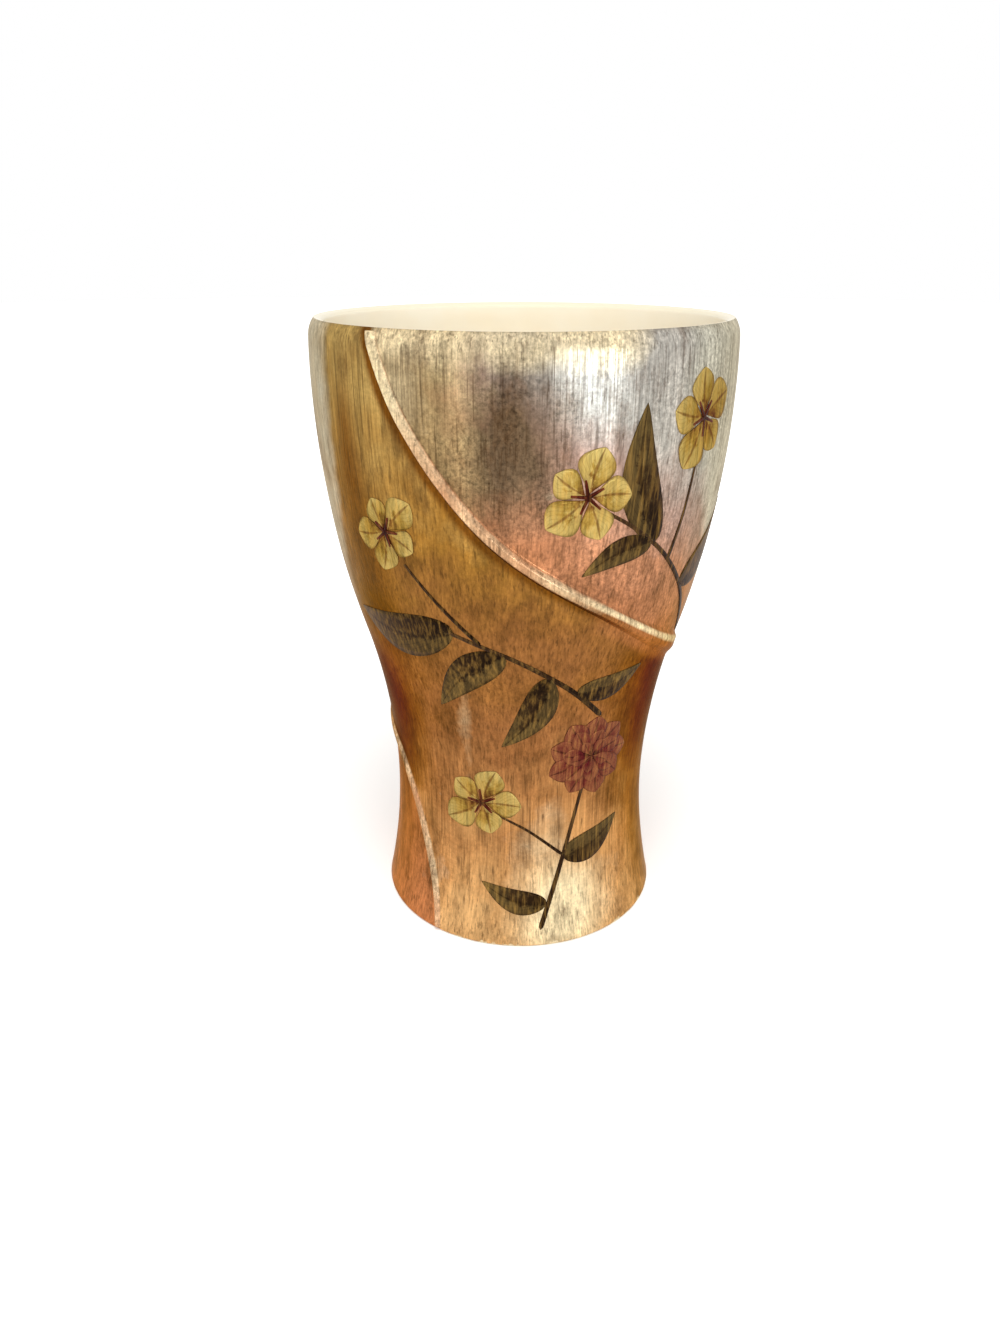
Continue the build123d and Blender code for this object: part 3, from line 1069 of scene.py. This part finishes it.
class VASE_OT_stage(bpy.types.Operator):
    """Sets the pale floor, the soft light and the camera"""

    bl_idname = "vase.stage"
    bl_label = "Stage"

    def execute(self, context):
        scene = context.scene
        scene.view_settings.view_transform = "Standard"

        # Floor: pale, and white to the camera where no shadow falls
        mesh = bmesh.new()
        bmesh.ops.create_circle(mesh, cap_ends=True, segments=96, radius=4.0)
        data = bpy.data.meshes.new("studio_floor")
        mesh.to_mesh(data)
        mesh.free()
        floor = bpy.data.objects.new("studio_floor", data)
        floor.location.z = -0.0001
        scene.collection.objects.link(floor)
        material, tree, shader = new_material("pale_floor")
        place = add(tree, "TexCoord")["Object"]
        away = add(tree, "VectorMath", {0: place}, operation="LENGTH")["Value"]
        lifted = add(tree, "MapRange", {0: away, 1: 0.06, 2: 0.5, 3: 0.3, 4: 1.0})[0]
        shown = seen_share(tree, 0.4)
        seen = add(tree, "Math", {0: shown, 1: lifted}, operation="MULTIPLY")[0]

        # Seen from below it is clear, so that the foot shows
        facing = add(tree, "NewGeometry")["Backfacing"]
        solid = add(tree, "Math", {0: 1.0, 1: facing}, operation="SUBTRACT")[0]
        looks = {
            "Base Color": colour("F4F2EE"),
            "Roughness": 0.9,
            "Emission Color": (*WHITE, 1.0),
            "Emission Strength": seen,
            "Alpha": solid,
        }
        fill(tree, shader, looks)
        data.materials.append(material)

        # World: white to the camera and in reflections, softer as light
        world = bpy.data.worlds.new("studio")
        world.use_nodes = True
        scene.world = world
        tree = world.node_tree
        shown = seen_share(tree, 1.0)
        strength = add(tree, "MapRange", {0: shown, 1: 0.0, 2: 1.0, 3: 0.52, 4: 1.0})[0]
        fill(tree, tree.nodes["Background"], {"Color": (*WHITE, 1.0), "Strength": strength})

        # Window light to the right of the camera, a narrower one to the left, a soft top light
        target = Vector((0, 0, 0.1))
        lamps = (
            ("window", (0.5, -0.75, 0.16), 0.22, 0.3, 1.25, (0.76, 0.89, 1.0), True),
            ("side_panel", (-0.62, -0.7, 0.2), 0.05, 0.4, 0.5, WHITE, False),
            ("top_panel", (0.0, -0.45, 0.95), 0.5, 0.5, 6.8, WHITE, False),
        )
        for name, spot, wide, high, power, tint, mirrored in lamps:
            lamp = bpy.data.lights.new(name, "AREA")
            lamp.shape = "RECTANGLE"
            lamp.size = wide
            lamp.size_y = high
            lamp.energy = power
            lamp.color = tint
            holder = bpy.data.objects.new(name, lamp)
            holder.location = spot
            holder.rotation_euler = (target - Vector(spot)).to_track_quat("-Z", "Y").to_euler()
            holder.visible_glossy = mirrored
            scene.collection.objects.link(holder)

        # Camera: a little above the rim, turned so that the axis stands right of the middle
        camera = bpy.data.cameras.new("camera")
        camera.sensor_fit = "HORIZONTAL"
        camera.sensor_width = 36.0
        camera.lens = 36.0
        camera.clip_start = 0.01
        holder = bpy.data.objects.new("camera", camera)
        holder.location = (0.0, -0.3232, 0.2214)
        dip, swing = 23.21, 1.27
        holder.rotation_euler = (math.radians(90 - dip), 0.0, math.radians(swing))
        scene.collection.objects.link(holder)
        scene.camera = holder
        return {"FINISHED"}


class VASE_PT_panel(bpy.types.Panel):
    """Lists the steps that make the vase"""

    bl_label = "Bamboo vase"
    bl_space_type = "VIEW_3D"
    bl_region_type = "UI"
    bl_category = "Vase"

    def draw(self, context):
        for group in (context.scene.vase_shape, context.scene.vase_finish):
            for name in group.__annotations__:
                self.layout.prop(group, name)
        for step in STEPS:
            self.layout.operator(step.bl_idname)


STEPS = (
    VASE_OT_wall,
    VASE_OT_floor,
    VASE_OT_rib,
    VASE_OT_stems,
    VASE_OT_leaves,
    VASE_OT_blossoms,
    VASE_OT_rosette,
    VASE_OT_stage,
)
CLASSES = (VaseShape, VaseFinish, *STEPS, VASE_PT_panel)


def register():
    for item in CLASSES:
        bpy.utils.register_class(item)
    bpy.types.Scene.vase_shape = bpy.props.PointerProperty(type=VaseShape)
    bpy.types.Scene.vase_finish = bpy.props.PointerProperty(type=VaseFinish)


def unregister():
    del bpy.types.Scene.vase_finish
    del bpy.types.Scene.vase_shape
    for item in reversed(CLASSES):
        bpy.utils.unregister_class(item)


def main():
    register()
    bpy.ops.vase.wall()
    bpy.ops.vase.floor()
    bpy.ops.vase.rib()
    bpy.ops.vase.stems()
    bpy.ops.vase.leaves()
    bpy.ops.vase.blossoms()
    bpy.ops.vase.rosette()
    bpy.ops.vase.stage()


if __name__ == "__main__":
    main()
